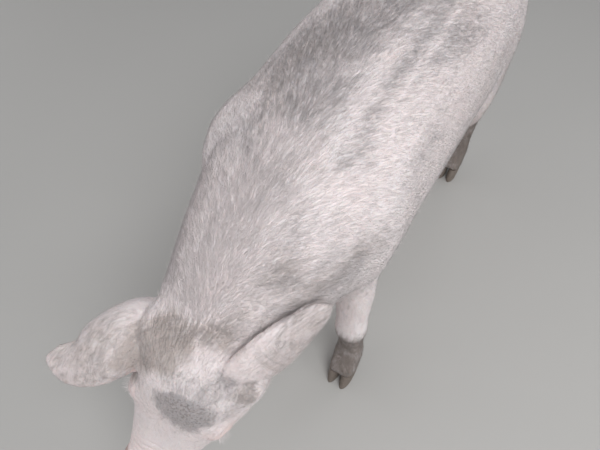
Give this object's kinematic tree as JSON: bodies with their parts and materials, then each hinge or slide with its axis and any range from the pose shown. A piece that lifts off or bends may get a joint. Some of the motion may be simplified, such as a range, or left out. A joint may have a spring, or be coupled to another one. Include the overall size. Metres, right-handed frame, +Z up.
{
  "type": "domestic pig",
  "caption": "Life-size standing white domestic pig, still, with lowered and tilted head, thrown ears, curled tail and cloven hooves.",
  "frame": {"origin": "on the floor under the middle of the pig's bounding box", "axes": "+X towards the nose, +Y to the pig's left, +Z up"},
  "size_m": [1.2944, 0.3716, 0.6998],
  "materials": {
    "skin": "white short-haired skin with pale pink showing through and grey mud smears",
    "snout": "bare moist pink skin with dirt",
    "eye": "wet dark brown eyeball",
    "horn": "worn horn caked with brown-grey mud"
  },
  "bodies": {
    "root": {"torso": "skin", "neck": "skin", "head": "skin", "snout": "snout", "ear_right": "skin", "ear_left": "skin", "eye_left": "eye", "eye_right": "eye", "tail": "skin", "foreleg_left": "skin", "foreleg_right": "skin", "hindleg_left": "skin", "hindleg_right": "skin", "claw_foreleg_left_left": "horn", "claw_foreleg_left_right": "horn", "claw_foreleg_right_left": "horn", "claw_foreleg_right_right": "horn", "claw_hindleg_left_left": "horn", "claw_hindleg_left_right": "horn", "claw_hindleg_right_left": "horn", "claw_hindleg_right_right": "horn", "dewclaw_foreleg_left_left": "horn", "dewclaw_foreleg_left_right": "horn", "dewclaw_foreleg_right_left": "horn", "dewclaw_foreleg_right_right": "horn", "dewclaw_hindleg_left_left": "horn", "dewclaw_hindleg_left_right": "horn", "dewclaw_hindleg_right_left": "horn", "dewclaw_hindleg_right_right": "horn"}
  },
  "joints": []
}
